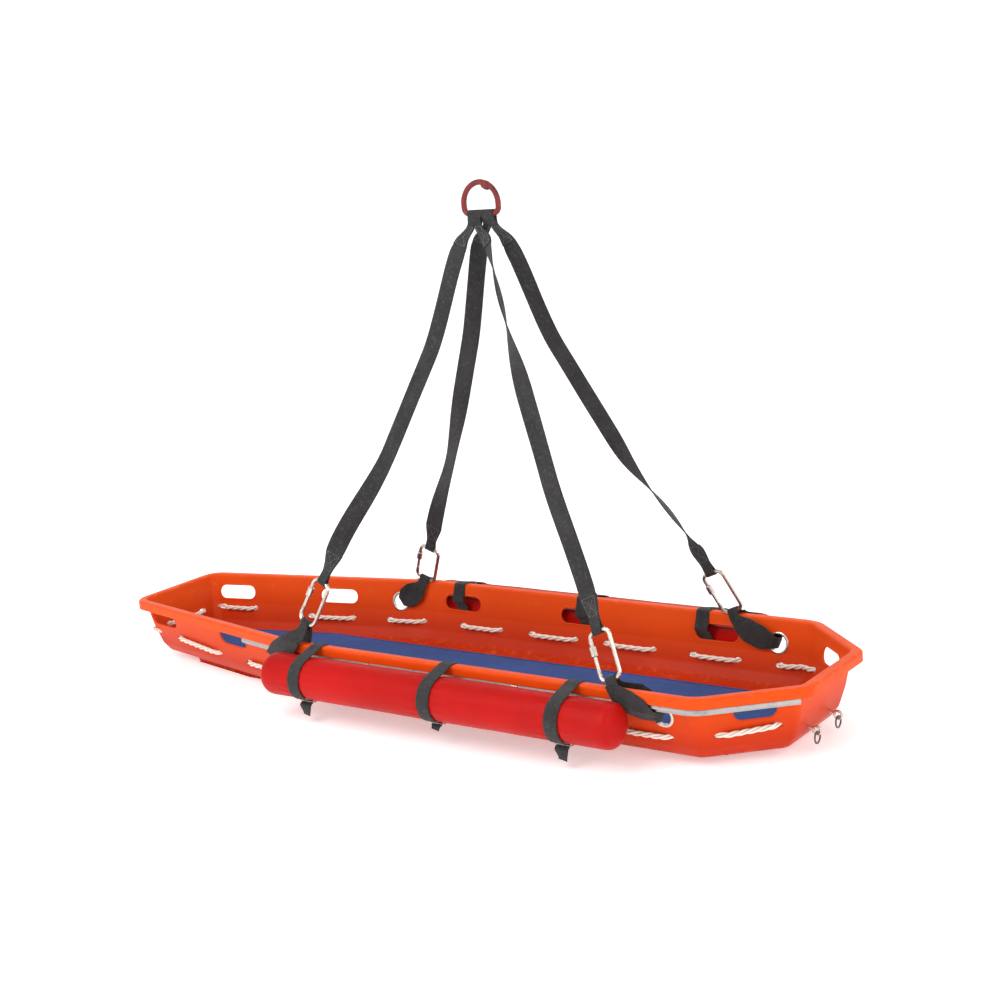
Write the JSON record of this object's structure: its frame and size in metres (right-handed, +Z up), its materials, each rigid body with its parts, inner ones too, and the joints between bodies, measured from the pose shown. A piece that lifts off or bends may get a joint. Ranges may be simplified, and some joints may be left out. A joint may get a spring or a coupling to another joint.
{
  "type": "basket stretcher",
  "caption": "Orange moulded basket stretcher with a mattress, side floats, grab rope, rim rail and a webbing lifting bridle gathered on a ring.",
  "frame": {"origin": "on the floor under the middle of the hull", "axes": "+X towards the head end, +Y to the far side, +Z up"},
  "size_m": [2.17, 0.8406, 1.326],
  "materials": {
    "blue_mattress": "foam mat, matt",
    "dark_steel": "dark plated",
    "dark_webbing": "polyester webbing, matt",
    "grommet_nickel": "nickel-plated pressing",
    "orange_shell": "moulded polyethylene, satin",
    "plated_steel": "zinc-plated, satin",
    "rail_aluminium": "drawn tube, satin",
    "red_float_skin": "coated fabric over closed-cell foam, satin",
    "red_painted_steel": "painted forging",
    "white_rope": "laid rope, matt"
  },
  "bodies": {
    "stretcher": {"bolt_nut_far": "plated_steel", "bolt_nut_near": "plated_steel", "carabiner_body_foot_far": "plated_steel", "carabiner_body_foot_near": "plated_steel", "carabiner_body_head_far": "plated_steel", "carabiner_body_head_near": "plated_steel", "carabiner_pin_foot_far": "plated_steel", "carabiner_pin_foot_near": "plated_steel", "carabiner_pin_head_far": "plated_steel", "carabiner_pin_head_near": "plated_steel", "eye_bolt_far": "plated_steel", "eye_bolt_near": "plated_steel", "float_far": "red_float_skin", "float_near": "red_float_skin", "float_strap_far_1": "dark_webbing", "float_strap_far_2": "dark_webbing", "float_strap_far_3": "dark_webbing", "float_strap_near_1": "dark_webbing", "float_strap_near_2": "dark_webbing", "float_strap_near_3": "dark_webbing", "grommet_foot_far": "grommet_nickel", "grommet_foot_near": "grommet_nickel", "grommet_head_far": "grommet_nickel", "grommet_head_near": "grommet_nickel", "hull_shell": "orange_shell", "lacing_rope": "white_rope", "lifting_pad_foot_far": "dark_webbing", "lifting_pad_foot_near": "dark_webbing", "lifting_pad_head_far": "dark_webbing", "lifting_pad_head_near": "dark_webbing", "rail_clip_far_1": "plated_steel", "rail_clip_far_2": "plated_steel", "rail_clip_near_1": "plated_steel", "rail_clip_near_2": "plated_steel", "rim_rail_far": "rail_aluminium", "rim_rail_near": "rail_aluminium", "sling_leg_foot_far": "dark_webbing", "sling_leg_foot_near": "dark_webbing", "sling_leg_head_far": "dark_webbing", "sling_leg_head_near": "dark_webbing", "strap_buckle_far_1": "plated_steel", "strap_buckle_far_2": "plated_steel", "strap_buckle_far_3": "plated_steel", "strap_buckle_near_1": "plated_steel", "strap_buckle_near_2": "plated_steel", "strap_buckle_near_3": "plated_steel"},
    "gate_foot_near": {"carabiner_gate_foot_near": "plated_steel"},
    "sleeve_foot_near": {"carabiner_sleeve_foot_near": "plated_steel"},
    "gate_foot_far": {"carabiner_gate_foot_far": "plated_steel"},
    "sleeve_foot_far": {"carabiner_sleeve_foot_far": "plated_steel"},
    "gate_head_near": {"carabiner_gate_head_near": "plated_steel"},
    "sleeve_head_near": {"carabiner_sleeve_head_near": "plated_steel"},
    "gate_head_far": {"carabiner_gate_head_far": "plated_steel"},
    "sleeve_head_far": {"carabiner_sleeve_head_far": "plated_steel"},
    "ring": {"master_ring": "red_painted_steel"},
    "tow_ring_near": {"tow_ring_near": "dark_steel"},
    "tow_ring_far": {"tow_ring_far": "dark_steel"},
    "mattress": {"mattress": "blue_mattress"}
  },
  "joints": [
    {"name": "gate_hinge_foot_near", "type": "hinge", "parent": "stretcher", "child": "gate_foot_near", "pos_m": [-0.27733, -0.29339, 0.27571], "axis": [0.0756, 0.9441, -0.3208], "range_deg": [0, 28], "stiffness_Nm_per_rad": 0.12, "springref_deg": -8.59},
    {"name": "sleeve_slide_foot_near", "type": "slide", "parent": "gate_foot_near", "child": "sleeve_foot_near", "axis": [0.3746, 0.2712, 0.8866], "range_m": [0, 0.009]},
    {"name": "gate_hinge_foot_far", "type": "hinge", "parent": "stretcher", "child": "gate_foot_far", "pos_m": [-0.35785, 0.27757, 0.22939], "axis": [-0.0579, 0.9543, 0.2931], "range_deg": [0, 28], "stiffness_Nm_per_rad": 0.12, "springref_deg": -8.59},
    {"name": "sleeve_slide_foot_far", "type": "slide", "parent": "gate_foot_far", "child": "sleeve_foot_far", "axis": [0.4467, -0.2378, 0.8625], "range_m": [0, 0.009]},
    {"name": "gate_hinge_head_near", "type": "hinge", "parent": "stretcher", "child": "gate_head_near", "pos_m": [0.63405, -0.30028, 0.21434], "axis": [0.1102, 0.9661, -0.2335], "range_deg": [0, 28], "stiffness_Nm_per_rad": 0.12, "springref_deg": -8.59},
    {"name": "sleeve_slide_head_near", "type": "slide", "parent": "gate_head_near", "child": "sleeve_head_near", "axis": [-0.4123, 0.2582, 0.8737], "range_m": [0, 0.009]},
    {"name": "gate_hinge_head_far", "type": "hinge", "parent": "stretcher", "child": "gate_head_far", "pos_m": [0.62152, 0.28778, 0.20697], "axis": [-0.0971, 0.9681, 0.2311], "range_deg": [0, 28], "stiffness_Nm_per_rad": 0.12, "springref_deg": -8.59},
    {"name": "sleeve_slide_head_far", "type": "slide", "parent": "gate_head_far", "child": "sleeve_head_far", "axis": [-0.3749, -0.2506, 0.8925], "range_m": [0, 0.009]},
    {"name": "ring_tilt", "type": "hinge", "parent": "stretcher", "child": "ring", "pos_m": [0.19, 0, 1.243], "axis": [1, 0, 0], "range_deg": [-80, 80]},
    {"name": "tow_ring_swing_near", "type": "hinge", "parent": "stretcher", "child": "tow_ring_near", "pos_m": [1.05019, -0.055, 0.0458], "axis": [0, 1, 0], "range_deg": [-75, 20]},
    {"name": "tow_ring_swing_far", "type": "hinge", "parent": "stretcher", "child": "tow_ring_far", "pos_m": [1.05019, 0.055, 0.0458], "axis": [0, 1, 0], "range_deg": [-75, 20]},
    {"name": "mattress_lift", "type": "slide", "parent": "stretcher", "child": "mattress", "axis": [0, 0, 1], "range_m": [0, 0.25]}
  ]
}
